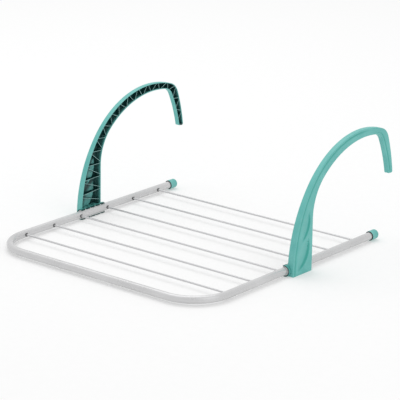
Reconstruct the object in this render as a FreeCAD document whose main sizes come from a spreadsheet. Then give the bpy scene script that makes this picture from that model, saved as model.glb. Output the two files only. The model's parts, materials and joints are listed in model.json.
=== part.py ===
import FreeCAD, Part
import math
import os
import Sketcher
from FreeCAD import Placement, Rotation, Vector

# Hang-over drying rack: a tube bent to a U carries six straight rods.  Two moulded
# arms clip round the side tubes, slide along them and fold flat, and hook over a rail.
#
# Row frame, in millimetres: +X to the rack's right, +Y towards the rail, +Z up.  The
# origin is on the ground under the middle of the whole rack.  Bodies are drawn in the
# rack's own coordinates, with Y counted from the first rod and Z from the tube's axis,
# and their Placement puts them in the row frame.

SIZES = {
    # Where the rack's own coordinates lie in the row frame.
    "first_rod_y": -197.2,
    "tube_height": 11.0,
    # U-shaped frame tube, measured to its axis.
    "frame_width": 525.0,
    "front_bar_y": -82.0,
    "bend_radius": 77.0,
    "tube_radius": 7.5,
    "tube_wall": 1.0,
    "tube_end_y": 446.0,
    # Rods, and the bushes that seat them in the tube's inner wall.
    "rod_pitch": 78.0,
    "rod_radius": 2.0,
    "rod_length": 519.0,
    "bush_flange_radius": 3.5,
    "bush_flange_depth": 1.0,
    "bush_barrel_radius": 2.95,
    "bush_barrel_depth": 2.6,
    "bush_bore_radius": 2.05,
    "bush_hole_radius": 3.0,
    # End caps: a sleeve over the tube and a spigot inside it.
    "cap_front_y": 431.0,
    "cap_back_y": 451.0,
    "cap_radius": 9.5,
    "cap_sleeve_bore": 7.55,
    "cap_mouth_radius": 8.6,
    "cap_mouth_depth": 5.0,
    "cap_spigot_radius": 6.4,
    "cap_spigot_depth": 10.0,
    "cap_seat_gap": 0.2,
    "cap_edge_round": 4.0,
    # Arm shell: outer face, depth towards the rack, and walls.
    "arm_face_x": 279.4,
    "arm_depth": 14.4,
    "arm_wall": 2.0,
    "arm_edge_round": 2.4,
    "foot_drop": 11.0,
    "foot_front_y": 167.0,
    "foot_back_y": 223.4,
    "foot_back_run": 100.2,
    "foot_back_lean": 2.0,
    # Arcs of the arm's front edge, from the foot over the hook: radius and sweep.
    "front_radius_a": 264.6,
    "front_sweep_a": 36.8,
    "front_radius_b": 203.4,
    "front_sweep_b": 71.4,
    "front_radius_c": 33.1,
    "front_sweep_c": 53.0,
    "front_radius_d": 348.6,
    "front_sweep_d": 12.9,
    # Arcs of the arm's back edge, which starts with the foot's straight run.
    "back_radius_a": 103.8,
    "back_sweep_a": 46.1,
    "back_radius_b": 197.1,
    "back_sweep_b": 52.4,
    "back_radius_c": 25.8,
    "back_sweep_c": 54.8,
    "back_radius_d": 299.4,
    "back_sweep_d": 14.9,
    # Thin zig-zag ribs inside the arm.
    "rib_bays": 17.0,
    "rib_thickness": 1.2,
    "rib_setback": 1.4,
    "rib_node_gap": 0.14,
    # Leaf-shaped recesses in the foot's outer face: depth, tips and half-width.
    "leaf_depth": 1.0,
    "lower_leaf_y": 180.6,
    "lower_leaf_z": 0.0,
    "lower_leaf_top_y": 211.0,
    "lower_leaf_top_z": 61.0,
    "lower_leaf_bulge": 13.0,
    "upper_leaf_y": 194.0,
    "upper_leaf_z": 57.0,
    "upper_leaf_top_y": 213.5,
    "upper_leaf_top_z": 110.0,
    "upper_leaf_bulge": 9.5,
    # Clip at the arm's foot: a C round the tube, open towards the rack's middle.
    "clip_centre_y": 195.0,
    "clip_radius": 11.0,
    "clip_bore": 9.1,
    "clip_mouth_x": 258.0,
    "clip_rib_count": 5.0,
    "clip_rib_pitch": 16.0,
    "clip_rib_width": 5.0,
    # Liner between clip and tube, open on the same side.
    "liner_length": 66.0,
    "liner_radius": 9.0,
    "liner_bore": 7.6,
}

SIDES = {"left": -1, "right": 1}
ROD_COUNT = 6
PARTS_FOLDER = "parts"

doc = FreeCAD.newDocument("DryingRack")
sheet = doc.addObject("Spreadsheet::Sheet", "Sizes")
for row, (alias, value) in enumerate(SIZES.items(), start=1):
    sheet.set(f"A{row}", alias)
    sheet.set(f"B{row}", str(value))
    sheet.setAlias(f"B{row}", alias)
doc.recompute()

sub_parts = []


def size(alias):
    """A driving dimension, as a plain number."""
    return float(sheet.get(alias))


def bind(thing, **expressions):
    """Bind properties to the sheet: a double underscore in a name stands for a dot."""
    for name, expression in expressions.items():
        thing.setExpression(name.replace("__", "."), expression)


def keep(thing, label):
    """Count an object as one of the rack's sub-parts, under its own label."""
    thing.Label = label
    sub_parts.append(thing)
    return thing


# ---------------------------------------------------------------- sketching


def new_body(label):
    """A body in the rack's own coordinates, placed in the row frame."""
    body = keep(doc.addObject("PartDesign::Body", label), label)
    bind(body, Placement__Base__y="Sizes.first_rod_y", Placement__Base__z="Sizes.tube_height")
    return body


def new_sketch(body, name, role, offset="0"):
    """A sketch on one of the body's origin planes, offset along the plane's normal."""
    sketch = body.newObject("Sketcher::SketchObject", f"{body.Name}_{name}")
    plane = [p for p in body.Origin.OriginFeatures if p.Role == role][0]
    sketch.AttachmentSupport = [(plane, "")]
    sketch.MapMode = "FlatFace"
    bind(sketch, AttachmentOffset__Base__z=offset)
    return sketch


def constrain(sketch, kind, *arguments, to=None):
    """Add a constraint, and bind its value to an expression if one is given."""
    index = sketch.addConstraint(Sketcher.Constraint(kind, *arguments))
    if to is not None:
        sketch.setExpression(f"Constraints[{index}]", to)


def add_circle(sketch, x, y, radius, to):
    """A circle round a point, its radius bound to an expression."""
    circle = sketch.addGeometry(Part.Circle(Vector(x, y, 0), Vector(0, 0, 1), radius))
    constrain(sketch, "Radius", circle, radius, to=to)
    return circle


def add_polygon(sketch, points):
    """A closed polygon of straight lines."""
    for start, end in zip(points, points[1:] + points[:1]):
        sketch.addGeometry(Part.LineSegment(Vector(*start, 0), Vector(*end, 0)))


def add_box(sketch, low, high):
    """A closed rectangle between two corners."""
    add_polygon(sketch, [low, (high[0], low[1]), high, (low[0], high[1])])


def add_pad(body, sketch, name, length, reverse=False, midplane=False):
    """Material from a sketch, its length bound to an expression."""
    pad = body.newObject("PartDesign::Pad", f"{body.Name}_{name}")
    pad.Profile = sketch
    pad.Reversed = reverse
    pad.Midplane = midplane
    bind(pad, Length=length)
    doc.recompute()
    return pad


def add_pocket(body, sketch, name, length, reverse=False, midplane=False):
    """A cut from a sketch, which must take material away."""
    before = body.Shape.Volume
    pocket = body.newObject("PartDesign::Pocket", f"{body.Name}_{name}")
    pocket.Profile = sketch
    pocket.Reversed = reverse
    pocket.Midplane = midplane
    bind(pocket, Length=length)
    doc.recompute()
    if not body.Shape.Volume < before:
        raise RuntimeError(f"{pocket.Name} cuts nothing")
    return pocket


# ---------------------------------------------------------------- frame tube and rods


def make_frame_tube():
    """The bent tube: two sides, two bends and a front bar, drilled for the bushes."""
    body = new_body("frame_tube")
    half = size("frame_width") / 2
    bend = size("bend_radius")
    front = size("front_bar_y")
    back = size("tube_end_y")

    path = new_sketch(body, "path", "XY_Plane")
    corner = Vector(half - bend, front + bend, 0)
    up = Vector(0, 0, 1)
    left_centre = Vector(-corner.x, corner.y, 0)
    left = path.addGeometry(Part.LineSegment(Vector(-half, back, 0), Vector(-half, corner.y, 0)))
    left_bend = path.addGeometry(
        Part.ArcOfCircle(Part.Circle(left_centre, up, bend), math.pi, 1.5 * math.pi))
    bar = path.addGeometry(Part.LineSegment(Vector(-corner.x, front, 0), Vector(corner.x, front, 0)))
    right_bend = path.addGeometry(
        Part.ArcOfCircle(Part.Circle(corner, up, bend), 1.5 * math.pi, 2 * math.pi))
    right = path.addGeometry(Part.LineSegment(Vector(half, corner.y, 0), Vector(half, back, 0)))
    constrain(path, "Vertical", left)
    constrain(path, "Vertical", right)
    constrain(path, "Horizontal", bar)
    constrain(path, "Tangent", left, 2, left_bend, 1)
    constrain(path, "Tangent", left_bend, 2, bar, 1)
    constrain(path, "Tangent", bar, 2, right_bend, 1)
    constrain(path, "Tangent", right_bend, 2, right, 1)
    constrain(path, "Radius", left_bend, bend, to="Sizes.bend_radius")
    constrain(path, "Equal", left_bend, right_bend)
    constrain(path, "DistanceX", -1, 1, left, 1, -half, to="-Sizes.frame_width / 2")
    constrain(path, "DistanceX", -1, 1, right, 2, half, to="Sizes.frame_width / 2")
    constrain(path, "DistanceY", -1, 1, left, 1, back, to="Sizes.tube_end_y")
    constrain(path, "DistanceY", -1, 1, right, 2, back, to="Sizes.tube_end_y")
    constrain(path, "DistanceY", -1, 1, bar, 1, front, to="Sizes.front_bar_y")

    section = new_sketch(body, "section", "XZ_Plane", "-Sizes.tube_end_y")
    for radius, expression in (
        (size("tube_radius"), "Sizes.tube_radius"),
        (size("tube_radius") - size("tube_wall"), "Sizes.tube_radius - Sizes.tube_wall"),
    ):
        circle = add_circle(section, -half, 0, radius, expression)
        constrain(section, "DistanceX", -1, 1, circle, 3, -half, to="-Sizes.frame_width / 2")
        constrain(section, "DistanceY", -1, 1, circle, 3, 0)
    doc.recompute()

    pipe = body.newObject("PartDesign::AdditivePipe", "frame_tube_pipe")
    pipe.Profile = section
    pipe.Spine = (path, [])
    doc.recompute()

    drilling = new_sketch(body, "drilling", "YZ_Plane")
    for number in range(ROD_COUNT):
        along = number * size("rod_pitch")
        hole = add_circle(drilling, along, 0, size("bush_hole_radius"), "Sizes.bush_hole_radius")
        constrain(drilling, "DistanceX", -1, 1, hole, 3, along, to=f"{number} * Sizes.rod_pitch")
        constrain(drilling, "DistanceY", -1, 1, hole, 3, 0)
    add_pocket(body, drilling, "bush_holes", "Sizes.frame_width", midplane=True)


def make_cylinder(name, radius, height):
    """A cylinder bound to two expressions."""
    cylinder = doc.addObject("Part::Cylinder", name)
    bind(cylinder, Radius=radius, Height=height)
    return cylinder


def lay_across(thing, number, side, start):
    """Turn a piece outwards along X, at rod number's place, with its base at start."""
    thing.Placement = Placement(Vector(), Rotation(Vector(0, 0, 1), Vector(side, 0, 0)))
    bind(
        thing,
        Placement__Base__x=f"{side} * ({start})",
        Placement__Base__y=f"Sizes.first_rod_y + {number - 1} * Sizes.rod_pitch",
        Placement__Base__z="Sizes.tube_height",
    )


def make_rod(number):
    """A straight rod from inside one side tube to inside the other."""
    rod = make_cylinder(f"rod_{number}", "Sizes.rod_radius", "Sizes.rod_length")
    lay_across(rod, number, 1, "-Sizes.rod_length / 2")
    keep(rod, f"rod_{number}")


def make_bush(number, side_name):
    """A flanged bush, which seats a rod's end in the hole in the tube's inner wall."""
    name = f"rod_{number}_{side_name}_bush"
    flange = make_cylinder(f"{name}_flange", "Sizes.bush_flange_radius", "Sizes.bush_flange_depth")
    barrel = make_cylinder(
        f"{name}_barrel", "Sizes.bush_barrel_radius",
        "Sizes.bush_flange_depth + Sizes.bush_barrel_depth")
    bore = make_cylinder(
        f"{name}_bore", "Sizes.bush_bore_radius",
        "Sizes.bush_flange_depth + Sizes.bush_barrel_depth")
    solid = doc.addObject("Part::Fuse", f"{name}_solid")
    solid.Base = flange
    solid.Tool = barrel
    bush = doc.addObject("Part::Cut", name)
    bush.Base = solid
    bush.Tool = bore
    start = "Sizes.frame_width / 2 - Sizes.tube_radius - Sizes.bush_flange_depth"
    lay_across(bush, number, SIDES[side_name], start)
    keep(bush, name)


def make_end_cap(side_name):
    """A moulded cap: sleeve over the tube, spigot inside it and a recessed mouth."""
    body = new_body(f"{side_name}_end_cap")
    front = size("cap_front_y")
    back = size("cap_back_y")
    seat = size("tube_end_y") + size("cap_seat_gap")
    edge = size("cap_edge_round")
    radius = size("cap_radius")
    x = SIDES[side_name] * size("frame_width") / 2
    profile = new_sketch(body, "profile", "XY_Plane")
    outline = [
        (0, seat - size("cap_spigot_depth")),
        (size("cap_spigot_radius"), seat - size("cap_spigot_depth")),
        (size("cap_spigot_radius"), seat),
        (size("cap_sleeve_bore"), seat),
        (size("cap_sleeve_bore"), front + size("cap_mouth_depth")),
        (size("cap_mouth_radius"), front + size("cap_mouth_depth")),
        (size("cap_mouth_radius"), front),
        (radius, front),
        (radius, back - edge),
    ]
    points = [Vector(x + across, along, 0) for across, along in outline]
    for start, end in zip(points, points[1:]):
        profile.addGeometry(Part.LineSegment(start, end))
    rounding = Part.Circle(Vector(x + radius - edge, back - edge, 0), Vector(0, 0, 1), edge)
    profile.addGeometry(Part.ArcOfCircle(rounding, 0, math.pi / 2))
    face_edge = Vector(x + radius - edge, back, 0)
    face_centre = Vector(x, back, 0)
    profile.addGeometry(Part.LineSegment(face_edge, face_centre))
    profile.addGeometry(Part.LineSegment(face_centre, points[0]))
    axis = profile.addGeometry(Part.LineSegment(points[0], face_centre), True)
    constrain(profile, "Vertical", axis)
    doc.recompute()
    turned = body.newObject("PartDesign::Revolution", f"{body.Name}_turned")
    turned.Profile = profile
    turned.ReferenceAxis = (profile, ["Axis0"])
    turned.Angle = 360
    doc.recompute()


# ---------------------------------------------------------------- arm outline


def turn_right(point, heading, radius, sweep):
    """Follow a right-hand arc from a point: its centre and its end."""
    angle = math.radians(heading)
    centre = (point[0] + radius * math.sin(angle), point[1] - radius * math.cos(angle))
    after = math.radians(heading - sweep)
    end = (centre[0] - radius * math.sin(after), centre[1] + radius * math.cos(after))
    return centre, end


def edge_arcs(edge, inset):
    """The four tangent arcs of an arm's edge, moved into the arm by a distance."""
    if edge == "front":
        point = (size("foot_front_y") + inset, -size("foot_drop"))
        heading = 90.0
        grow = -inset
    else:
        lean = math.radians(size("foot_back_lean"))
        run = size("foot_back_run")
        foot = (size("foot_back_y") - inset / math.cos(lean), -size("foot_drop"))
        point = (foot[0] + run * math.sin(lean), foot[1] + run * math.cos(lean))
        heading = 90.0 - size("foot_back_lean")
        grow = inset
    arcs = []
    for part in "abcd":
        radius = size(f"{edge}_radius_{part}") + grow
        sweep = size(f"{edge}_sweep_{part}")
        if part == "d":
            # The tip's wall is as thick as the others.
            sweep -= math.degrees(inset / radius)
        centre, end = turn_right(point, heading, radius, sweep)
        arcs.append({"part": part, "centre": centre, "radius": radius, "heading": heading,
                     "sweep": sweep, "start": point, "end": end})
        point = end
        heading -= sweep
    return arcs


def point_along(edge, inset, fraction):
    """The point at a fraction of an edge's length, the foot's straight run included."""
    arcs = edge_arcs(edge, inset)
    first = arcs[0]
    straight = size("foot_back_run") if edge == "back" else 0.0
    lengths = [arc["radius"] * math.radians(arc["sweep"]) for arc in arcs]
    distance = fraction * (straight + sum(lengths)) - straight
    if distance < 0:
        lean = math.radians(size("foot_back_lean"))
        return (first["start"][0] + distance * math.sin(lean),
                first["start"][1] + distance * math.cos(lean))
    for arc, length in zip(arcs, lengths):
        if distance <= length:
            break
        distance -= length
    turned = math.degrees(distance / arc["radius"])
    return turn_right(arc["start"], arc["heading"], arc["radius"], turned)[1]


def add_edge(sketch, edge, inset, inset_name):
    """Draw an edge's tangent arcs, with their radii bound to the sheet."""
    sign = "-" if edge == "front" else "+"
    previous = None
    for arc in edge_arcs(edge, inset):
        circle = Part.Circle(Vector(*arc["centre"], 0), Vector(0, 0, 1), arc["radius"])
        first = math.radians(arc["heading"] + 90 - arc["sweep"])
        last = math.radians(arc["heading"] + 90)
        index = sketch.addGeometry(Part.ArcOfCircle(circle, first, last))
        radius = f"Sizes.{edge}_radius_{arc['part']} {sign} {inset_name}"
        constrain(sketch, "Radius", index, arc["radius"], to=radius)
        if previous is not None:
            constrain(sketch, "Tangent", previous, 1, index, 2)
        previous = index
    return arc["end"]


def draw_arm(sketch, inset, inset_name):
    """The arm's closed side outline, moved inwards by a distance."""
    front_tip = add_edge(sketch, "front", inset, inset_name)
    back_tip = add_edge(sketch, "back", inset, inset_name)
    front_foot = edge_arcs("front", inset)[0]["start"]
    back_top = edge_arcs("back", inset)[0]["start"]
    back_foot = point_along("back", inset, 0.0)
    for start, end in ((front_tip, back_tip), (back_top, back_foot), (back_foot, front_foot)):
        sketch.addGeometry(Part.LineSegment(Vector(*start, 0), Vector(*end, 0)))


def draw_ribs(sketch):
    """Thin ribs that zig-zag between the arm's front and back walls."""
    ribs = 2 * int(size("rib_bays"))
    inset = size("arm_wall") / 2
    half = size("rib_thickness") / 2
    gap = size("rib_node_gap")
    for number in range(1, ribs):
        near, far = ("front", "back") if number % 2 else ("back", "front")
        start = point_along(near, inset, (number + gap) / (ribs + 1))
        end = point_along(far, inset, (number + 1 - gap) / (ribs + 1))
        if min(start[1], end[1]) < size("clip_radius"):
            continue
        length = math.dist(start, end)
        across = (half * (end[1] - start[1]) / length, -half * (end[0] - start[0]) / length)
        corners = [
            (start[0] + across[0], start[1] + across[1]),
            (end[0] + across[0], end[1] + across[1]),
            (end[0] - across[0], end[1] - across[1]),
            (start[0] - across[0], start[1] - across[1]),
        ]
        add_polygon(sketch, corners)


def draw_leaf(sketch, name):
    """A pointed leaf: two equal arcs between its tips."""
    low = Vector(size(f"{name}_leaf_y"), size(f"{name}_leaf_z"), 0)
    high = Vector(size(f"{name}_leaf_top_y"), size(f"{name}_leaf_top_z"), 0)
    along = high - low
    across = Vector(along.y, -along.x, 0).normalize() * size(f"{name}_leaf_bulge")
    middle = (low + high) / 2
    sketch.addGeometry(Part.Arc(low, middle + across, high))
    sketch.addGeometry(Part.Arc(high, middle - across, low))


def draw_clip(sketch, side):
    """The clip's C section, open towards the rack's middle."""
    axis = size("frame_width") / 2
    mouth = size("clip_mouth_x") - axis
    ends = []
    for radius in (size("clip_radius"), size("clip_bore")):
        height = math.sqrt(radius ** 2 - mouth ** 2)
        low = Vector(side * (axis + mouth), -height, 0)
        high = Vector(side * (axis + mouth), height, 0)
        sketch.addGeometry(Part.Arc(low, Vector(side * (axis + radius), 0, 0), high))
        ends.append((low, high))
    for outer, inner in zip(*ends):
        sketch.addGeometry(Part.LineSegment(outer, inner))


# ---------------------------------------------------------------- arms and liners


def make_arm(side_name):
    """A moulded arm: hollow shell with ribs, hook, and C clip at its foot."""
    side = SIDES[side_name]
    inwards = side > 0
    body = new_body(f"{side_name}_arm")
    face = f"{side} * Sizes.arm_face_x"
    floor = -size("foot_drop")
    clip_middle = size("clip_centre_y")

    outline = new_sketch(body, "outline", "YZ_Plane", face)
    draw_arm(outline, 0.0, "0")
    shell = add_pad(body, outline, "shell", "Sizes.arm_depth", reverse=inwards)

    # The long edges between the outer face and the walls are rounded.
    face_x = side * size("arm_face_x")
    names = []
    for number, edge in enumerate(shell.Shape.Edges, start=1):
        box = edge.BoundBox
        on_face = abs(box.XMin - face_x) < 0.01 and abs(box.XMax - face_x) < 0.01
        if on_face and box.ZLength > size("arm_depth") / 2:
            names.append(f"Edge{number}")
    rounding = body.newObject("PartDesign::Fillet", f"{body.Name}_rounding")
    rounding.Base = (shell, names)
    bind(rounding, Radius="Sizes.arm_edge_round")
    doc.recompute()

    hollow = new_sketch(body, "hollow", "YZ_Plane", f"{side} * (Sizes.arm_face_x - Sizes.arm_wall)")
    draw_arm(hollow, size("arm_wall"), "Sizes.arm_wall")
    add_pocket(body, hollow, "hollow_cut", "Sizes.arm_depth", reverse=not inwards)

    ribs = new_sketch(body, "ribs", "YZ_Plane", f"{face} - {side} * Sizes.arm_wall / 2")
    draw_ribs(ribs)
    add_pad(body, ribs, "zigzag", "Sizes.arm_depth - Sizes.arm_wall / 2 - Sizes.rib_setback",
            reverse=inwards)

    sole = new_sketch(body, "sole", "YZ_Plane", f"{face} - {side} * Sizes.arm_wall / 2")
    heel = size("foot_back_y") - size("arm_wall") / 2
    toe = size("foot_front_y") + size("arm_wall") / 2
    add_box(sole, (toe, floor), (heel, floor + size("arm_wall")))
    add_pad(body, sole, "floor", "Sizes.arm_depth - Sizes.arm_wall / 2", reverse=inwards)

    webs = new_sketch(body, "webs", "XY_Plane")
    inner = side * size("frame_width") / 2
    outer = side * (size("arm_face_x") - size("arm_wall") / 2)
    half = size("clip_rib_width") / 2
    pitch = size("clip_rib_pitch")
    outermost = int(size("clip_rib_count")) // 2
    for number in range(1 - outermost, outermost):
        middle = clip_middle + number * pitch
        add_box(webs, (inner, middle - half), (outer, middle + half))
    add_pad(body, webs, "clip_webs", "2 * Sizes.clip_radius", midplane=True)

    length = "(Sizes.clip_rib_count - 1) * Sizes.clip_rib_pitch + Sizes.clip_rib_width"
    clip = new_sketch(body, "clip", "XZ_Plane", "-Sizes.clip_centre_y")
    draw_clip(clip, side)
    add_pad(body, clip, "clip_shell", length, midplane=True)

    bore = new_sketch(body, "bore", "XZ_Plane", "-Sizes.clip_centre_y")
    add_circle(bore, inner, 0, size("clip_bore"), "Sizes.clip_bore")
    add_pocket(body, bore, "clip_bore", length, midplane=True)

    # Between the clip's ribs its lips are cut away.
    windows = new_sketch(body, "windows", "YZ_Plane", f"{side} * Sizes.frame_width / 2")
    for number in range(int(size("clip_rib_count")) - 1):
        middle = clip_middle + (number - outermost + 0.5) * pitch
        add_box(windows, (middle - pitch / 2 + half, -2 * size("clip_radius")),
                (middle + pitch / 2 - half, 2 * size("clip_radius")))
    add_pocket(body, windows, "lip_windows", "2 * Sizes.clip_radius", reverse=not inwards)

    leaves = new_sketch(body, "leaves", "YZ_Plane", face)
    draw_leaf(leaves, "lower")
    draw_leaf(leaves, "upper")
    add_pocket(body, leaves, "leaf_recesses", "Sizes.leaf_depth", reverse=not inwards)


def make_clip_liner(side_name):
    """A C-shaped sleeve that turns in the arm's clip and slides on the tube."""
    side = SIDES[side_name]
    name = f"{side_name}_clip_liner"
    outer = make_cylinder(f"{name}_outer", "Sizes.liner_radius", "Sizes.liner_length")
    inner = make_cylinder(f"{name}_bore", "Sizes.liner_bore", "Sizes.liner_length")
    sleeve = doc.addObject("Part::Cut", f"{name}_sleeve")
    sleeve.Base = outer
    sleeve.Tool = inner
    mouth = doc.addObject("Part::Box", f"{name}_mouth")
    depth = "(Sizes.frame_width / 2 - Sizes.clip_mouth_x)"
    bind(mouth, Length="2 * Sizes.liner_radius", Width="2 * Sizes.liner_radius", Height="Sizes.liner_length")
    shift = "2 * Sizes.liner_radius" if side > 0 else "0"
    bind(mouth, Placement__Base__x=f"{-side} * {depth} - {shift}", Placement__Base__y="-Sizes.liner_radius")
    liner = doc.addObject("Part::Cut", name)
    liner.Base = sleeve
    liner.Tool = mouth
    liner.Placement = Placement(Vector(), Rotation(Vector(1, 0, 0), -90))
    bind(
        liner,
        Placement__Base__x=f"{side} * Sizes.frame_width / 2",
        Placement__Base__y="Sizes.first_rod_y + Sizes.clip_centre_y - Sizes.liner_length / 2",
        Placement__Base__z="Sizes.tube_height",
    )
    keep(liner, name)


# ---------------------------------------------------------------- the whole rack

make_frame_tube()
for rod_number in range(1, ROD_COUNT + 1):
    make_rod(rod_number)
    for side_of_rod in SIDES:
        make_bush(rod_number, side_of_rod)
for rack_side in SIDES:
    make_end_cap(rack_side)
    make_clip_liner(rack_side)
    make_arm(rack_side)
doc.recompute()

for item in doc.Objects:
    if {"Invalid", "Error"} & set(item.State):
        raise RuntimeError(f"{item.Name} failed: {item.State}")

os.makedirs(PARTS_FOLDER, exist_ok=True)
for item in sub_parts:
    if item.Shape.isNull() or not item.Shape.isValid():
        raise RuntimeError(f"{item.Label} has no valid shape")
for item in sub_parts:
    item.Shape.exportStep(f"{PARTS_FOLDER}/{item.Label}.step")
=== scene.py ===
import json
import math

import bmesh
import bpy
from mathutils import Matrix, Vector


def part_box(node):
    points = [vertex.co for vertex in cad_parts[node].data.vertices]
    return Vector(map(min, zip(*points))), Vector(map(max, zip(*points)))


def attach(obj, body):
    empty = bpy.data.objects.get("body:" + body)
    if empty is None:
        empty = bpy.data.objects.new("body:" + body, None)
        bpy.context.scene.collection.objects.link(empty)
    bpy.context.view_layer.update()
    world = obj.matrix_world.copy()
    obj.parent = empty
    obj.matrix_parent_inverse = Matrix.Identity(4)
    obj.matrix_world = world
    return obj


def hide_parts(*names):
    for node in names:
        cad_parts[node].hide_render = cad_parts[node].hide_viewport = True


# Hang-over drying rack.  The tube, rods, bushes, end caps and clip liners are the packed
# model's own meshes under new materials.  Each arm is built here in more detail than its
# CAD solid: shell, zig-zag ribs, and the clip at its foot.  Lengths are in metres.

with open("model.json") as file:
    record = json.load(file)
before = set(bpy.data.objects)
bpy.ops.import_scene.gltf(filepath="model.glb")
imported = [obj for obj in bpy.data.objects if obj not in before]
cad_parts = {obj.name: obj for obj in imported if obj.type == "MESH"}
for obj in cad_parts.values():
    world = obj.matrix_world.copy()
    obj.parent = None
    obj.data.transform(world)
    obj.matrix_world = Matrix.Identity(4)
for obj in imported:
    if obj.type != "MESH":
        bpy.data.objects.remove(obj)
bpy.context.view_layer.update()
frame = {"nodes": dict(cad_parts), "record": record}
SIDES = {"left": -1, "right": 1}
MM = 0.001

# ---------------------------------------------------------------- places, from the frame


def centre_of(node):
    """The middle of a CAD node's box."""
    low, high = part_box(node)
    return (low + high) / 2


LINER = centre_of("right_clip_liner")
ROD_1 = centre_of("rod_1")
ARM_LOW, ARM_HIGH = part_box("right_arm")
FACE_X = ARM_HIGH.x
AXIS_X = frame["record"]["behaviour"]["joints"][-1]["pos_m"][0]
AXIS_Z = ROD_1.z
MOUTH_X = ARM_LOW.x

# Arm shell.
ARM_DEPTH = 14.4 * MM
RIM_X = FACE_X - ARM_DEPTH
WALL = 1.5 * MM
TOE_Y = LINER.y - 28.0 * MM
HEEL_Y = LINER.y + 28.4 * MM
HEEL_RUN = 100.2 * MM
HEEL_LEAN = 2.0
RIM_ROUND = 0.5 * MM
FACE_ROUND = 1.8 * MM
TIP_ROUND = 3.2 * MM
FLOOR_ROUND = 0.9 * MM

# The arm gets thinner above its foot: how far its face and its rim move in, and the
# share of its length by which they have.
FACE_TAPER = 2.6 * MM
RIM_TAPER = 1.2 * MM
TAPER_SHARE = 0.42

# Tangent arcs of the arm's two long edges, from the foot over the hook: radius and sweep.
FRONT_ARCS = ((264.6 * MM, 36.8), (203.4 * MM, 71.4), (33.1 * MM, 53.0), (348.6 * MM, 12.9))
BACK_ARCS = ((103.8 * MM, 46.1), (197.1 * MM, 52.4), (25.8 * MM, 54.8), (299.4 * MM, 14.9))

# Leaf-shaped scoops in the foot's outer face: tips as distance from the liner's middle
# and height, half-width, and depth.
LOWER_LEAF = {
    "low": (-14.4 * MM, 7.0 * MM),
    "high": (18.5 * MM, 69.0 * MM),
    "half": 15.5 * MM,
    "depth": 3.2 * MM,
}
UPPER_LEAF = {
    "low": (-2.0 * MM, 61.0 * MM),
    "high": (20.5 * MM, 118.0 * MM),
    "half": 12.0 * MM,
    "depth": 2.8 * MM,
}

# Across a scoop, -1 to 1: where it is deepest, and where its steep edge lies, which is darkened with
# painted shade.
LEAF_CREST = 0.62
LEAF_EDGE = 0.82
LEAF_EDGE_HALF = 0.2
LEAF_EDGE_FADE = 1.6

# Groove that follows the outer face's front edge, and beyond the hook its back edge; its colour is
# darkened with painted shade.
HOOK_SHARE = 0.74
GROOVE_TURN = 0.10
GROOVE_OFFSET = 2.3 * MM
GROOVE_HALF = 2.1 * MM
GROOVE_DEPTH = 0.6 * MM

# The groove and its painted shade end short of the tip, and the bumps inside the foot get painted light,
# paler than its floor.
GROOVE_FADE = 8.0 * MM
BUMP_LIGHT = 1.5 * MM
BUMP_FADE = 0.85

# Mesh density of the shell: along it, across it, and round its corners.
STATIONS = 300
TIP_STATIONS = 8
FACE_SPANS = 30
FLOOR_SPANS = 20
WALL_SPANS = 5
RIM_ROUND_SPANS = 2
FACE_ROUND_SPANS = 4
FLOOR_ROUND_SPANS = 3
TIP_MARGIN = 1.05

# Zig-zag ribs: their bays, half-thickness, crest width as a share, depth below the rim,
# gap at each node as a share of a bay, and the depth over which the crest's painted highlight fades.
RIB_BAYS = 17
RIB_HALF = 0.36 * MM
RIB_CREST = 0.6
RIB_SETBACK = 1.4 * MM
RIB_NODE_GAP = 0.14
RIB_SPANS = 10
RIB_FADE = 0.5 * MM
# Painted light on each corner of a rib's section, from its bottom over its crest and down again: the
# crest is painted pale, the sides stay in painted shade.
RIB_PAINTED_LIGHT = [0.0, 0.0, 0.7, 1.0, 1.0, 0.7, 0.0, 0.0]

# Clip round the tube: the radii of its lips, its shell and its bore, and its ribs.
CLIP_RADIUS = 11.0 * MM
CLIP_SHELL_RADIUS = 10.6 * MM
CLIP_BORE = 9.1 * MM
CLIP_RIBS = 5
CLIP_PITCH = 14.4 * MM
CLIP_RIB_WIDTH = 9.6 * MM
CLIP_SPANS = 40
CLIP_SOFTENING = 0.25 * MM
SOFTENING_SPANS = 2
# Distance over which the painted shade on the lips fades out towards the tube's axis.
LIP_FADE = 2.0 * MM
NOTCH_SPANS = 64
WEB_SPANS = 24

# Dark ring against the mouth of an end cap: painted shade where the gap between cap and tube lies in
# shadow.
SHADE_RING_INNER = 7.5 * MM
SHADE_RING_OUTER = 9.2 * MM
SHADE_RING_ROUND = 0.3 * MM
SHADE_RING_PROUD = 1.0 * MM
SHADE_RING_SPANS = 48

# Stage: the camera is placed from rod 1's middle.
CAMERA_OFFSET = (2.4304, -2.6272, 1.2570)
CAMERA_ANGLES = (72.42, 0.0, 40.42)
CAMERA_LENS = 180.6
CAMERA_SENSOR = 36.0
FLOOR_HALF = 30.0
FLOOR_GLOW = 0.30
SKY_STRENGTH = 0.85
LIGHT_TARGET = (0.0, 0.0, 0.1)
KEY_LIGHT = {"place": (-1.2, 0.6, 3.4), "size": 3.0, "power": 40.0}
FILL_LIGHT = {"place": (2.6, -0.6, 1.8), "size": 2.0, "power": 8.0}


# ---------------------------------------------------------------- mesh helpers


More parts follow.
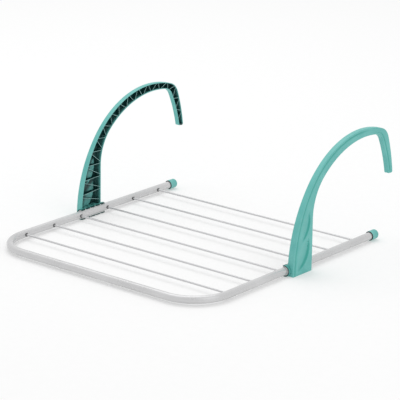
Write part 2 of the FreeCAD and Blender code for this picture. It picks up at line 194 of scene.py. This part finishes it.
def make_piece(name, vertices, faces, side=1, attributes=None):
    """A smooth-shaded mesh object, mirrored to the rack's left for side -1."""
    mesh = bpy.data.meshes.new(name)
    placed = [(side * x, y, z) for x, y, z in vertices]
    wound = faces if side > 0 else [tuple(reversed(face)) for face in faces]
    mesh.from_pydata(placed, [], wound)
    for label, values in (attributes or {}).items():
        layer = mesh.attributes.new(label, "FLOAT", "POINT")
        layer.data.foreach_set("value", values)
    mesh.validate()
    shape = bmesh.new()
    shape.from_mesh(mesh)
    bmesh.ops.recalc_face_normals(shape, faces=shape.faces)
    shape.to_mesh(mesh)
    shape.free()
    piece = bpy.data.objects.new(name, mesh)
    bpy.context.scene.collection.objects.link(piece)
    smooth(piece)
    return piece


def smooth(piece, angle=35.0):
    """Shade a piece smooth except over its sharp edges."""
    piece.data.set_sharp_from_angle(angle=math.radians(angle))
    for face in piece.data.polygons:
        face.use_smooth = True


def apply_modifiers(piece):
    """Keep a piece's modified mesh as its own mesh."""
    graph = bpy.context.evaluated_depsgraph_get()
    mesh = bpy.data.meshes.new_from_object(piece.evaluated_get(graph))
    piece.modifiers.clear()
    piece.data = mesh


def soften(piece, width):
    """Bevel a piece's sharp edges."""
    bevel = piece.modifiers.new("soften", "BEVEL")
    bevel.width = width
    bevel.segments = SOFTENING_SPANS
    bevel.limit_method = "ANGLE"
    apply_modifiers(piece)
    smooth(piece)


def ring_faces(rows, count, is_closed=False):
    """Quads between consecutive rings of vertices, and from the last to the first if closed."""
    faces = []
    for row in range(rows if is_closed else rows - 1):
        near = row * count
        far = (row + 1) % rows * count
        for spot in range(count):
            after = (spot + 1) % count
            faces.append((near + spot, near + after, far + after, far + spot))
    return faces


def extrude_outline(outline, start_y, end_y):
    """Vertices and faces of an outline in X and Z, carried along Y."""
    count = len(outline)
    vertices = [(x, y, z) for y in (start_y, end_y) for x, z in outline]
    faces = ring_faces(2, count)
    faces.append(tuple(range(count)))
    faces.append(tuple(reversed(range(count, 2 * count))))
    return vertices, faces


def join_parts(parts):
    """One vertex list and face list from several."""
    vertices = []
    faces = []
    for part_vertices, part_faces in parts:
        shift = len(vertices)
        vertices.extend(part_vertices)
        faces.extend(tuple(index + shift for index in face) for face in part_faces)
    return vertices, faces


def ease(value):
    """A smooth step from 0 to 1."""
    value = min(max(value, 0.0), 1.0)
    return value * value * (3.0 - 2.0 * value)


# ---------------------------------------------------------------- arm outline


def edge_length(edge):
    """The length of an arm's front or back edge."""
    arcs = FRONT_ARCS if edge == "front" else BACK_ARCS
    run = 0.0 if edge == "front" else HEEL_RUN
    return run + sum(radius * math.radians(sweep) for radius, sweep in arcs)


def edge_point(edge, distance, inset=0.0):
    """The point at a distance along an edge, moved into the arm, as Y and Z."""
    if edge == "front":
        arcs = FRONT_ARCS
        heading = 90.0
        y, z = TOE_Y, 0.0
        turn = 1
    else:
        arcs = BACK_ARCS
        heading = 90.0 - HEEL_LEAN
        run = min(distance, HEEL_RUN)
        lean = math.radians(HEEL_LEAN)
        y, z = HEEL_Y + run * math.sin(lean), run * math.cos(lean)
        distance -= run
        turn = -1
    for radius, sweep in arcs:
        length = radius * math.radians(sweep)
        part = min(distance, length)
        before = math.radians(heading)
        heading -= math.degrees(part / radius)
        after = math.radians(heading)
        y += radius * (math.sin(before) - math.sin(after))
        z += radius * (math.cos(after) - math.cos(before))
        distance -= part
        if distance <= 0.0:
            break
    inwards = math.radians(heading)
    return (y + turn * inset * math.sin(inwards), z - turn * inset * math.cos(inwards))


def leaf_shape(leaf, y, z):
    """A scoop's depth at a point, and how near the point is to its steep edge, which gets painted shade.
    """
    low_y = LINER.y + leaf["low"][0]
    along = (leaf["high"][0] - leaf["low"][0], leaf["high"][1] - leaf["low"][1])
    length = math.hypot(*along)
    offset = (y - low_y, z - leaf["low"][1])
    share = (offset[0] * along[0] + offset[1] * along[1]) / length ** 2
    if not 0.0 < share < 1.0:
        return 0.0, 0.0
    across = (offset[0] * along[1] - offset[1] * along[0]) / length
    belly = 4.0 * share * (1.0 - share)
    place = across / (leaf["half"] * belly)
    if not -1.0 < place < 1.0:
        return 0.0, 0.0
    if place < LEAF_CREST:
        rise = ease((place + 1.0) / (LEAF_CREST + 1.0))
    else:
        rise = ease((1.0 - place) / (1.0 - LEAF_CREST))
    # The steep edge of a scoop gets painted shade.
    edge = math.exp(-((place - LEAF_EDGE) / LEAF_EDGE_HALF) ** 2) * ease(LEAF_EDGE_FADE * belly)
    return leaf["depth"] * rise * math.sqrt(belly), edge


def scoop(y, z):
    """The outer face's depth below its plane, and the painted shade on the scoops' steep edges."""
    shapes = [leaf_shape(leaf, y, z) for leaf in (LOWER_LEAF, UPPER_LEAF)]
    return max(depth for depth, _ in shapes), max(edge for _, edge in shapes)


def groove(distance):
    """The groove's share of its depth at a distance from the front edge."""
    return ease(distance / GROOVE_OFFSET) * math.exp(-((distance - GROOVE_OFFSET) / GROOVE_HALF) ** 2)


# ---------------------------------------------------------------- arm shell


def between(start, end, spans):
    """The points between two ends of a line, without the ends."""
    return [tuple(a + (b - a) * step / spans for a, b in zip(start, end)) for step in range(1, spans)]


def quarter_turn(spans):
    """Angles from 0 to a right angle."""
    return [math.pi / 2 * step / spans for step in range(spans + 1)]


def rim_corner():
    """The round between a wall's side and its rim, as pairs of inset and X."""
    return [(RIM_ROUND * (1 - math.sin(a)), RIM_X + RIM_ROUND * (1 - math.cos(a)))
            for a in quarter_turn(RIM_ROUND_SPANS)]


def face_corner(radius, spans, inset, x):
    """The round between a wall's side and the face or the floor, as pairs of inset and X."""
    return [(inset + radius * (1 - math.cos(a)), x - radius * (1 - math.sin(a)))
            for a in quarter_turn(spans)]


def outer_wall():
    """A wall's outside from the rim to the face, as pairs of inset and X."""
    rim = rim_corner()
    face = face_corner(FACE_ROUND, FACE_ROUND_SPANS, 0.0, FACE_X)
    return rim + between(rim[-1], face[0], WALL_SPANS) + face


def inner_wall():
    """A wall's inside from the rim to the floor, as pairs of inset and X."""
    rim = [(WALL - inset, x) for inset, x in rim_corner()]
    floor = face_corner(FLOOR_ROUND, FLOOR_ROUND_SPANS, WALL, FACE_X - WALL)
    return rim + between(rim[-1], floor[0], WALL_SPANS) + floor


OUTER_WALL = outer_wall()
INNER_WALL = inner_wall()
ARM_LENGTH = (edge_length("front") + edge_length("back")) / 2


def taper(x, share):
    """An X in the untapered arm, moved to where the arm has it at a share of its length."""
    eased = ease(share / TAPER_SHARE)
    depth = (x - RIM_X) / ARM_DEPTH
    return x + eased * (RIM_TAPER * (1.0 - depth) - FACE_TAPER * depth)


def outside_points(edge, share, tip):
    """The outside of an edge's wall, as Y, Z, X, painted shade and painted hollow shade, from the rim to
    the face.
    """
    points = []
    for inset, x in OUTER_WALL:
        y, z = edge_point(edge, edge_length(edge) * share, inset + tip)
        points.append((y, z, x, 0.0, 0.0))
    return points


def inside_points(edge, share, tip, is_hollow):
    """The inside of an edge's wall, from the rim to the floor, or flat where the arm is solid."""
    points = []
    for inset, x in INNER_WALL:
        y, z = edge_point(edge, edge_length(edge) * share, inset + tip)
        # The hollow value darkens the inside wall with painted shade, more the deeper it lies.
        points.append((y, z, x if is_hollow else RIM_X, 0.0, (x - RIM_X) / ARM_DEPTH))
    return points


def face_points(share, tip, to_tip):
    """The outer face from front to back, with its scoops and its groove, both darkened with painted
    shade.
    """
    start = edge_point("front", edge_length("front") * share, FACE_ROUND + tip)
    end = edge_point("back", edge_length("back") * share, FACE_ROUND + tip)
    width = math.dist(start, end)
    points = []
    for step in range(1, FACE_SPANS):
        part = step / FACE_SPANS
        y, z = (a + (b - a) * part for a, b in zip(start, end))
        depth, edge = scoop(y, z)
        # The groove's line also darkens the colour, as painted shade.
        line = groove(part * width) * ease((HOOK_SHARE - share) / GROOVE_TURN)
        line += groove((1.0 - part) * width) * ease((share - HOOK_SHARE) / GROOVE_TURN)
        line *= ease(to_tip / GROOVE_FADE)
        points.append((y, z, FACE_X - depth - GROOVE_DEPTH * line, max(edge, line), 0.0))
    return points


def floor_points(share, tip, is_hollow):
    """The shell's floor from back to front, where the scoops show as bumps: painted shade deep in the
    shell, painted light on the bumps.
    """
    inset = WALL + FLOOR_ROUND + tip
    start = edge_point("back", edge_length("back") * share, inset)
    end = edge_point("front", edge_length("front") * share, inset)
    points = []
    for step in range(1, FLOOR_SPANS):
        y, z = (a + (b - a) * step / FLOOR_SPANS for a, b in zip(start, end))
        depth = scoop(y, z)[0]
        x = FACE_X - WALL - depth if is_hollow else RIM_X
        points.append((y, z, x, 0.0, 1.0 - BUMP_FADE * ease(depth / BUMP_LIGHT)))
    return points


def shell_ring(share, is_hollow):
    """One section of the arm's shell: each point's place, painted shade and painted hollow shade."""
    to_tip = (1.0 - share) * ARM_LENGTH
    tip = TIP_ROUND - math.sqrt(TIP_ROUND ** 2 - max(0.0, TIP_ROUND - to_tip) ** 2)
    top_x = FACE_X - tip / 2
    points = outside_points("front", share, tip)
    points += face_points(share, tip, to_tip)
    points += reversed(outside_points("back", share, tip))
    points += inside_points("back", share, tip, is_hollow)
    points += floor_points(share, tip, is_hollow)
    points += reversed(inside_points("front", share, tip, is_hollow))
    return [((taper(min(x, top_x), share), y, z), painted_shade, hollow) for y, z, x, painted_shade, hollow in points]


def shell_stations():
    """Places along the shell, each with whether the section is hollow there."""
    wall = WALL / ARM_LENGTH
    last = 1.0 - max(WALL, TIP_ROUND) * TIP_MARGIN / ARM_LENGTH
    hollow = [wall + (last - wall) * step / STATIONS for step in range(STATIONS + 1)]
    tip = [last + (1.0 - last) * math.sin(a) for a in quarter_turn(TIP_STATIONS)]
    return ([(0.0, False), (wall, False)] + [(share, True) for share in hollow]
            + [(share, False) for share in tip])


def make_arm_shell(side_name):
    """The arm's hollow shell, lofted from foot to tip and notched for the tube."""
    rings = [shell_ring(share, is_hollow) for share, is_hollow in shell_stations()]
    count = len(rings[0])
    vertices = [place for ring in rings for place, _, _ in ring]
    faces = ring_faces(len(rings), count)
    faces.append(tuple(range(count)))
    faces.append(tuple(reversed(range(len(vertices) - count, len(vertices)))))
    attributes = {
        "painted_shade": [painted_shade for ring in rings for _, painted_shade, _ in ring],
        "hollow": [hollow for ring in rings for _, _, hollow in ring],
    }
    piece = make_piece(f"{side_name}_arm_shell", vertices, faces, SIDES[side_name], attributes)
    notch = make_piece("notch", *tube_notch(), SIDES[side_name])
    cut = piece.modifiers.new("notch", "BOOLEAN")
    cut.operation = "DIFFERENCE"
    cut.solver = "EXACT"
    cut.object = notch
    apply_modifiers(piece)
    bpy.data.objects.remove(notch)
    smooth(piece)
    return piece


def tube_notch():
    """A round bar along the tube's axis, as long as the foot and more."""
    turn = [2 * math.pi * step / NOTCH_SPANS for step in range(NOTCH_SPANS)]
    outline = [(AXIS_X + CLIP_BORE * math.cos(a), AXIS_Z + CLIP_BORE * math.sin(a)) for a in turn]
    return extrude_outline(outline, TOE_Y - WALL, HEEL_Y + WALL)


# ---------------------------------------------------------------- ribs and clip


def rib_part(start, end, share):
    """A thin rib between two points in Y and Z, its bottom sunk in the shell's floor."""
    length = math.dist(start, end)
    across = (RIB_HALF * (end[1] - start[1]) / length, -RIB_HALF * (end[0] - start[0]) / length)
    top = RIM_X + RIB_SETBACK
    vertices = []
    for step in range(RIB_SPANS + 1):
        y, z = (a + (b - a) * step / RIB_SPANS for a, b in zip(start, end))
        bottom = FACE_X - WALL / 2 - scoop(y, z)[0]
        section = ((1, bottom), (1, top + RIB_FADE), (1, top + RIB_HALF / 2), (RIB_CREST, top),
                   (-RIB_CREST, top), (-1, top + RIB_HALF / 2), (-1, top + RIB_FADE), (-1, bottom))
        for side, x in section:
            vertices.append((taper(x, share), y + side * across[0], z + side * across[1]))
    count = len(RIB_PAINTED_LIGHT)
    faces = ring_faces(RIB_SPANS + 1, count)
    faces.append(tuple(range(count)))
    faces.append(tuple(reversed(range(len(vertices) - count, len(vertices)))))
    return vertices, faces


def make_arm_ribs(side_name):
    """The thin ribs that zig-zag between the shell's front and back walls."""
    ribs = 2 * RIB_BAYS
    parts = []
    for number in range(1, ribs):
        near, far = ("front", "back") if number % 2 else ("back", "front")
        start_reach = edge_length(near) * (number + RIB_NODE_GAP) / (ribs + 1)
        end_reach = edge_length(far) * (number + 1 - RIB_NODE_GAP) / (ribs + 1)
        start = edge_point(near, start_reach, WALL / 2)
        end = edge_point(far, end_reach, WALL / 2)
        if min(start[1], end[1]) > 2 * CLIP_RADIUS:
            parts.append(rib_part(start, end, (number + 0.5) / (ribs + 1)))
    vertices, faces = join_parts(parts)
    # Painted highlight on each rib's crest.
    painted_crest_light = {"painted_crest_light": RIB_PAINTED_LIGHT * (len(vertices) // len(RIB_PAINTED_LIGHT))}
    return make_piece(f"{side_name}_arm_ribs", vertices, faces, SIDES[side_name], painted_crest_light)


def arc_outline(outer, inner, first, last, spans):
    """A C-shaped outline round the tube's axis between two angles, 0 pointing outwards."""
    turn = [first + (last - first) * step / spans for step in range(spans + 1)]
    return ([(AXIS_X + outer * math.cos(a), AXIS_Z + outer * math.sin(a)) for a in turn]
            + [(AXIS_X + inner * math.cos(a), AXIS_Z + inner * math.sin(a)) for a in reversed(turn)])


def web_outline():
    """A web's outline: a block from the arm's floor to the clip, notched for the tube."""
    turn = [math.pi / 2 - math.pi * step / WEB_SPANS for step in range(WEB_SPANS + 1)]
    notch = [(AXIS_X + CLIP_SHELL_RADIUS * math.cos(a), AXIS_Z + CLIP_SHELL_RADIUS * math.sin(a))
             for a in turn]
    outer = FACE_X - WALL - LOWER_LEAF["depth"] / 2
    return notch + [(outer, AXIS_Z - CLIP_SHELL_RADIUS), (outer, AXIS_Z + CLIP_SHELL_RADIUS)]


def make_arm_clip(side_name):
    """The clip: an open shell round the tube, five ribs with lips, and webs to the arm."""
    mouth = math.pi - math.acos((AXIS_X - MOUTH_X) / CLIP_RADIUS)
    half_length = (CLIP_PITCH * (CLIP_RIBS - 1) + CLIP_RIB_WIDTH) / 2
    half_turn = arc_outline(CLIP_SHELL_RADIUS, CLIP_BORE, -math.pi / 2, math.pi / 2, CLIP_SPANS)
    full_turn = arc_outline(CLIP_RADIUS, CLIP_BORE, -mouth, mouth, CLIP_SPANS)
    parts = [extrude_outline(half_turn, LINER.y - half_length, LINER.y + half_length)]
    outermost = CLIP_RIBS // 2
    for number in range(-outermost, outermost + 1):
        middle = LINER.y + number * CLIP_PITCH
        ends = (middle - CLIP_RIB_WIDTH / 2, middle + CLIP_RIB_WIDTH / 2)
        parts.append(extrude_outline(full_turn, *ends))
        if abs(number) < outermost:
            parts.append(extrude_outline(web_outline(), *ends))
    vertices, faces = join_parts(parts)
    # Painted shade on the lips, on the clip's inner side.
    lip_shade = {"lip_shade": [ease((AXIS_X - x) / LIP_FADE) for x, _, _ in vertices]}
    piece = make_piece(f"{side_name}_arm_clip", vertices, faces, SIDES[side_name], lip_shade)
    soften(piece, CLIP_SOFTENING)
    return piece


# ---------------------------------------------------------------- painted shade rings at the end caps


def make_cap_shade_ring(side_name):
    """A dark ring round the tube, against the mouth of the end cap: painted shade for the shadowed gap
    there.
    """
    low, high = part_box(f"{side_name}_end_cap")
    middle = (low + high) / 2
    front = low.y - SHADE_RING_PROUD
    section = [(SHADE_RING_INNER, front + SHADE_RING_ROUND), (SHADE_RING_INNER + SHADE_RING_ROUND, front),
               (SHADE_RING_OUTER - SHADE_RING_ROUND, front), (SHADE_RING_OUTER, front + SHADE_RING_ROUND),
               (SHADE_RING_OUTER, low.y), (SHADE_RING_INNER, low.y)]
    vertices = []
    for step in range(SHADE_RING_SPANS):
        angle = 2 * math.pi * step / SHADE_RING_SPANS
        for radius, y in section:
            vertices.append((middle.x + radius * math.cos(angle), y, middle.z + radius * math.sin(angle)))
    faces = ring_faces(SHADE_RING_SPANS, len(section), is_closed=True)
    return make_piece(f"{side_name}_cap_painted_shade_ring", vertices, faces)


# ---------------------------------------------------------------- materials

# Colours, as linear red, green, blue and opacity: dark and light patches, and paler edges.
TUBE_GREYS = ((0.57, 0.57, 0.575, 1), (0.63, 0.63, 0.635, 1))
ROD_GREYS = ((0.50, 0.50, 0.505, 1), (0.58, 0.58, 0.585, 1))
ROD_EDGE = (0.60, 0.60, 0.61, 1)
ARM_GREENS = ((0.108, 0.440, 0.408, 1), (0.142, 0.490, 0.454, 1))
ARM_EDGE = (0.36, 0.70, 0.67, 1)
# Painted shade in the scoops' steep edges and in the groove.
ARM_PAINTED_RECESS_SHADE = (0.028, 0.335, 0.285, 1)
# Painted light on the bumps inside the foot, and painted shade deep inside the shell.
ARM_BUMP_PAINTED_LIGHT = (0.110, 0.370, 0.345, 1)
ARM_HOLLOW_SHADE = (0.005, 0.048, 0.046, 1)
# The ribs in painted shade, and the painted highlight on their crests.
RIB_SHADED_GREENS = ((0.004, 0.036, 0.034, 1), (0.007, 0.050, 0.047, 1))
RIB_EDGE = (0.03, 0.09, 0.09, 1)
RIB_PAINTED_HIGHLIGHT = (0.36, 0.60, 0.58, 1)
# The clip painted darker than the arm as shade, and painted shade on its lips.
CLIP_SHADED_GREENS = ((0.070, 0.320, 0.295, 1), (0.090, 0.360, 0.332, 1))
CLIP_EDGE = (0.20, 0.50, 0.47, 1)
CLIP_LIP_SHADE = (0.008, 0.060, 0.056, 1)
CAP_GREENS = ((0.095, 0.400, 0.370, 1), (0.125, 0.440, 0.405, 1))
BUSH_GREYS = ((0.030, 0.030, 0.032, 1), (0.050, 0.050, 0.052, 1))
BUSH_EDGE = (0.14, 0.14, 0.14, 1)
LINER_GREYS = ((0.50, 0.52, 0.52, 1), (0.58, 0.60, 0.60, 1))
LINER_EDGE = (0.66, 0.68, 0.68, 1)
FLOOR_GREYS = ((0.61, 0.61, 0.61, 1), (0.63, 0.63, 0.63, 1))

# Places of the colour sockets on the Mix node.
MIX_FIRST = 6
MIX_SECOND = 7
MIX_RESULT = 2


class Finish:
    """A procedural material under construction, with its Principled shader."""

    def __init__(self, name, **values):
        self.material = bpy.data.materials.new(name)
        self.material.use_nodes = True
        self.tree = self.material.node_tree
        self.shader = self.tree.nodes["Principled BSDF"]
        for label, value in values.items():
            self.shader.inputs[label.replace("_", " ")].default_value = value
        self.place = self.node("ShaderNodeTexCoord").outputs["Object"]

    def node(self, kind, **inputs):
        """A node with the given inputs: a socket is linked, and any other value is set."""
        made = self.tree.nodes.new(kind)
        for label, value in inputs.items():
            self.feed(made.inputs[label.replace("_", " ")], value)
        return made

    def feed(self, socket, value):
        """Link a socket to another, or set its value."""
        if isinstance(value, bpy.types.NodeSocket):
            self.tree.links.new(value, socket)
        else:
            socket.default_value = value

    def noise(self, scale, detail=3.0, stretch=(1.0, 1.0, 1.0)):
        """Noise in the object's own coordinates, stretched along its axes."""
        mapping = self.node("ShaderNodeMapping", Vector=self.place, Scale=stretch)
        place = mapping.outputs["Vector"]
        return self.node("ShaderNodeTexNoise", Vector=place, Scale=scale, Detail=detail).outputs["Fac"]

    def spread(self, value, low, high, to_low=0.0, to_high=1.0):
        """Map a range of values onto another."""
        limits = {"From_Min": low, "From_Max": high, "To_Min": to_low, "To_Max": to_high}
        return self.node("ShaderNodeMapRange", Value=value, **limits).outputs["Result"]

    def mix(self, factor, first, second):
        """Mix two colours."""
        mixed = self.tree.nodes.new("ShaderNodeMix")
        mixed.data_type = "RGBA"
        self.feed(mixed.inputs["Factor"], factor)
        self.feed(mixed.inputs[MIX_FIRST], first)
        self.feed(mixed.inputs[MIX_SECOND], second)
        return mixed.outputs[MIX_RESULT]

    def attribute(self, name):
        """A value stored on the mesh's vertices."""
        stored = self.tree.nodes.new("ShaderNodeAttribute")
        stored.attribute_name = name
        return stored.outputs["Fac"]

    def worn_edges(self, start=0.52, end=0.62):
        """How sharply the surface bulges, from 0 to 1."""
        geometry = self.tree.nodes.new("ShaderNodeNewGeometry")
        return self.spread(geometry.outputs["Pointiness"], start, end)

    def finish(self, color, roughness, height, distance, strength=0.3):
        """Connect the colour, the roughness and a bump of the given height."""
        bump = self.node("ShaderNodeBump", Height=height, Distance=distance, Strength=strength)
        self.feed(self.shader.inputs["Base Color"], color)
        self.feed(self.shader.inputs["Roughness"], roughness)
        self.feed(self.shader.inputs["Normal"], bump.outputs["Normal"])
        return self.material


def frame_metal():
    """Satin coated aluminium: faint drawing lines along the side tubes and dull patches."""
    made = Finish("frame_metal", Metallic=0.3, Specular_IOR_Level=0.5)
    patches = made.noise(scale=14.0, detail=4.0)
    lines = made.noise(scale=420.0, detail=2.0, stretch=(1.0, 0.06, 1.0))
    color = made.mix(made.spread(patches, 0.35, 0.65), *TUBE_GREYS)
    gloss = made.spread(patches, 0.3, 0.7, to_low=0.24, to_high=0.34)
    return made.finish(color, gloss, lines, distance=0.12 * MM)


def rod_metal():
    """Grey coated steel wire, a little uneven along its length."""
    made = Finish("rod_metal", Metallic=0.6, Specular_IOR_Level=0.5)
    patches = made.noise(scale=30.0, detail=4.0, stretch=(1.0, 4.0, 4.0))
    color = made.mix(made.spread(patches, 0.35, 0.65), *ROD_GREYS)
    color = made.mix(made.worn_edges(), color, ROD_EDGE)
    gloss = made.spread(patches, 0.3, 0.7, to_low=0.3, to_high=0.42)
    return made.finish(color, gloss, made.noise(scale=900.0), distance=0.08 * MM)


class MouldedPlastic(Finish):
    """Moulded plastic with a fine grain, cloudy colour and paler edges."""

    def __init__(self, name, shades, edge, roughness, specular=0.25):
        super().__init__(name, Specular_IOR_Level=specular)
        clouds = self.noise(scale=38.0, detail=5.0)
        self.grain = self.noise(scale=1500.0, detail=2.0)
        self.color = self.mix(self.spread(clouds, 0.35, 0.65), *shades)
        self.color = self.mix(self.spread(self.worn_edges(), 0.0, 1.0, to_high=0.35), self.color, edge)
        self.gloss = self.spread(clouds, 0.3, 0.7, roughness - 0.04, roughness + 0.05)

    def tint(self, attribute, color):
        """Move the colour towards another, by a value stored on the mesh's vertices."""
        self.color = self.mix(self.attribute(attribute), self.color, color)

    def mould(self, grain_depth=0.10 * MM):
        """Connect everything, with a grain of the given depth."""
        return self.finish(self.color, self.gloss, self.grain, grain_depth)


def arm_plastic():
    """The arms' sea-green plastic, with painted shade in its recesses and inside the shell, and painted
    light on the bumps there.
    """
    made = MouldedPlastic("arm_plastic", ARM_GREENS, ARM_EDGE, roughness=0.42, specular=0.5)
    made.tint("painted_shade", ARM_PAINTED_RECESS_SHADE)
    # Painted shade: darker the deeper inside the shell, paler as painted light where the bumps rise.
    hollow = made.attribute("hollow")
    inside = made.mix(hollow, ARM_BUMP_PAINTED_LIGHT, ARM_HOLLOW_SHADE)
    made.color = made.mix(made.spread(hollow, 0.0, 0.3), made.color, inside)
    return made.mould()


def rib_plastic():
    """The ribs' sea-green plastic in painted shade, with painted highlights along their rims."""
    made = MouldedPlastic("rib_plastic", RIB_SHADED_GREENS, RIB_EDGE, roughness=0.55, specular=0.0)
    made.tint("painted_crest_light", RIB_PAINTED_HIGHLIGHT)
    return made.mould()


def clip_plastic():
    """The clip's sea-green plastic, darker than the arm's outside as painted shade, with painted shade on
    its lips.
    """
    made = MouldedPlastic("clip_plastic", CLIP_SHADED_GREENS, CLIP_EDGE, roughness=0.40)
    made.tint("lip_shade", CLIP_LIP_SHADE)
    return made.mould()


def cap_plastic():
    """The end caps' sea-green plastic."""
    return MouldedPlastic("cap_plastic", CAP_GREENS, ARM_EDGE, roughness=0.36).mould()


def bush_plastic():
    """The bushes' dark grey plastic."""
    made = MouldedPlastic("bush_plastic", BUSH_GREYS, BUSH_EDGE, roughness=0.45)
    return made.mould(grain_depth=0.06 * MM)


def liner_rubber():
    """The clip liners' pale grey rubber."""
    made = MouldedPlastic("liner_rubber", LINER_GREYS, LINER_EDGE, roughness=0.45)
    return made.mould(grain_depth=0.15 * MM)


def floor_finish():
    """A pale, faintly glowing studio floor, on which shadows stay soft."""
    made = Finish("floor_paper", Emission_Color=(1, 1, 1, 1), Emission_Strength=FLOOR_GLOW,
                  Specular_IOR_Level=0.0)
    fibres = made.noise(scale=60.0, detail=4.0)
    return made.finish(made.mix(fibres, *FLOOR_GREYS), 0.9, fibres, distance=0.2 * MM)


def paint(piece, material):
    """Give a piece one material through its object's slot."""
    if not piece.material_slots:
        piece.data.materials.append(None)
    for slot in piece.material_slots:
        slot.link = "OBJECT"
        slot.material = material


# ---------------------------------------------------------------- stage


def make_floor():
    """A wide floor under the rack."""
    half = FLOOR_HALF
    corners = [(-half, -half, 0.0), (half, -half, 0.0), (half, half, 0.0), (-half, half, 0.0)]
    floor = make_piece("floor", corners, [(0, 1, 2, 3)])
    paint(floor, floor_finish())


def make_light(name, place, size, power):
    """A square area light that faces the rack's middle."""
    data = bpy.data.lights.new(name, "AREA")
    data.shape = "SQUARE"
    data.size = size
    data.energy = power
    light = bpy.data.objects.new(name, data)
    light.location = place
    towards = Vector(LIGHT_TARGET) - Vector(place)
    light.rotation_euler = towards.to_track_quat("-Z", "Y").to_euler()
    bpy.context.scene.collection.objects.link(light)


def make_sky():
    """Even white light from all round."""
    world = bpy.data.worlds.new("studio")
    world.use_nodes = True
    sky = world.node_tree.nodes["Background"]
    sky.inputs["Color"].default_value = (1, 1, 1, 1)
    sky.inputs["Strength"].default_value = SKY_STRENGTH
    bpy.context.scene.world = world
    bpy.context.scene.view_settings.view_transform = "Standard"


def make_camera():
    """The camera, in front of the rack and to its right."""
    data = bpy.data.cameras.new("camera")
    data.lens = CAMERA_LENS
    data.sensor_width = CAMERA_SENSOR
    camera = bpy.data.objects.new("camera", data)
    camera.location = Vector((0.0, ROD_1.y, AXIS_Z)) + Vector(CAMERA_OFFSET)
    camera.rotation_euler = [math.radians(angle) for angle in CAMERA_ANGLES]
    bpy.context.scene.collection.objects.link(camera)
    bpy.context.scene.camera = camera


# ---------------------------------------------------------------- the whole rack

ARM_FINISH = arm_plastic()
RIB_FINISH = rib_plastic()
CLIP_FINISH = clip_plastic()
CAD_FINISHES = {
    "frame_tube": frame_metal(),
    "rod": rod_metal(),
    "bush": bush_plastic(),
    "end_cap": cap_plastic(),
    "clip_liner": liner_rubber(),
}

for side_of_rack in SIDES:
    shell = make_arm_shell(side_of_rack)
    ribs = make_arm_ribs(side_of_rack)
    clip = make_arm_clip(side_of_rack)
    for arm_piece, finish_of_piece in ((shell, ARM_FINISH), (ribs, RIB_FINISH), (clip, CLIP_FINISH)):
        paint(arm_piece, finish_of_piece)
        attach(arm_piece, f"{side_of_rack}_arm")
    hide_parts(f"{side_of_rack}_arm")
    shade_ring = make_cap_shade_ring(side_of_rack)
    # The dark bush finish serves as painted shade at the cap's mouth.
    paint(shade_ring, CAD_FINISHES["bush"])
    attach(shade_ring, "frame")

for node_name, node in frame["nodes"].items():
    kind = [key for key in CAD_FINISHES if node_name.endswith(key)]
    if not kind and node_name.startswith("rod"):
        kind = ["rod"]
    if kind:
        paint(node, CAD_FINISHES[kind[0]])

make_floor()
make_sky()
make_light("key", **KEY_LIGHT)
make_light("fill", **FILL_LIGHT)
make_camera()
